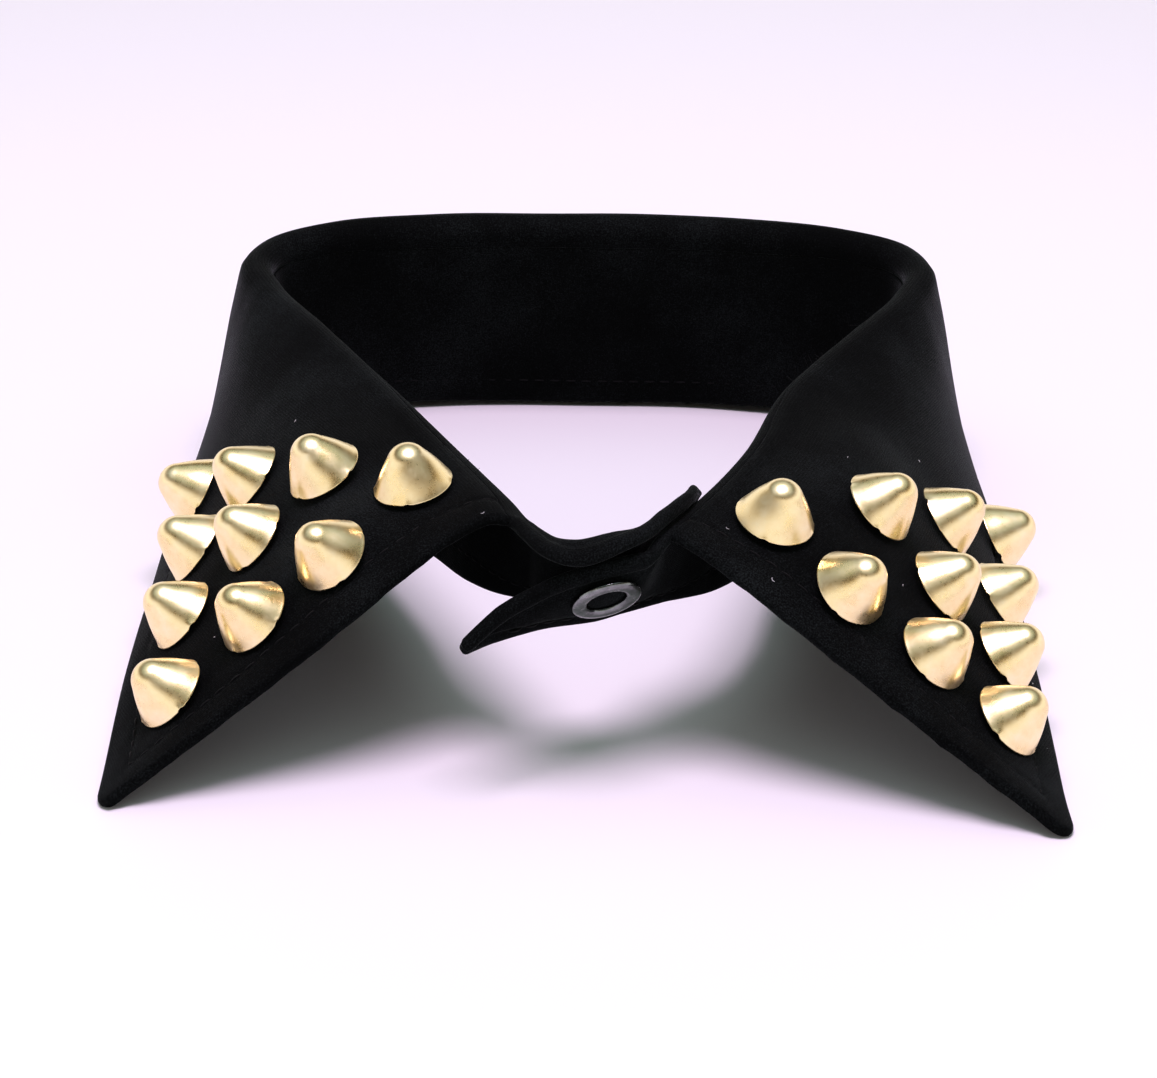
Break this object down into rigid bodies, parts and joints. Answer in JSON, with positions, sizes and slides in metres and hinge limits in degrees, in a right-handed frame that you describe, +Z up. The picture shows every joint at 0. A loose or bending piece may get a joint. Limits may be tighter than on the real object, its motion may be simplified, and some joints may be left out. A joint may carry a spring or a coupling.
{
  "type": "detachable shirt collar",
  "caption": "Stand-alone black cotton shirt collar with a folded fall, lapped tabs closed by a ring snap, and cone studs on both points.",
  "frame": {"origin": "middle of the footprint, on the surface the collar stands on", "axes": "+Z up, -Y towards the closed front, +X towards the wearer's left, which is the viewer's right"},
  "size_m": [0.1438, 0.1751, 0.0441],
  "materials": {
    "black_cotton": "fine plain weave, matte with a faint sheen",
    "gold_plated_brass": "satin, tumbled",
    "nickel_plated_steel": "bright nickel plate"
  },
  "bodies": {
    "root": {"collar_fall": "black_cotton", "collar_stand": "black_cotton", "stud_left_01": "gold_plated_brass", "stud_left_02": "gold_plated_brass", "stud_left_03": "gold_plated_brass", "stud_left_04": "gold_plated_brass", "stud_left_05": "gold_plated_brass", "stud_left_06": "gold_plated_brass", "stud_left_07": "gold_plated_brass", "stud_left_08": "gold_plated_brass", "stud_left_09": "gold_plated_brass", "stud_left_10": "gold_plated_brass", "stud_right_01": "gold_plated_brass", "stud_right_02": "gold_plated_brass", "stud_right_03": "gold_plated_brass", "stud_right_04": "gold_plated_brass", "stud_right_05": "gold_plated_brass", "stud_right_06": "gold_plated_brass", "stud_right_07": "gold_plated_brass", "stud_right_08": "gold_plated_brass", "stud_right_09": "gold_plated_brass", "stud_right_10": "gold_plated_brass", "snap_ring": "nickel_plated_steel", "snap_socket": "nickel_plated_steel", "snap_ball": "nickel_plated_steel", "snap_back_ring": "nickel_plated_steel"}
  },
  "joints": []
}
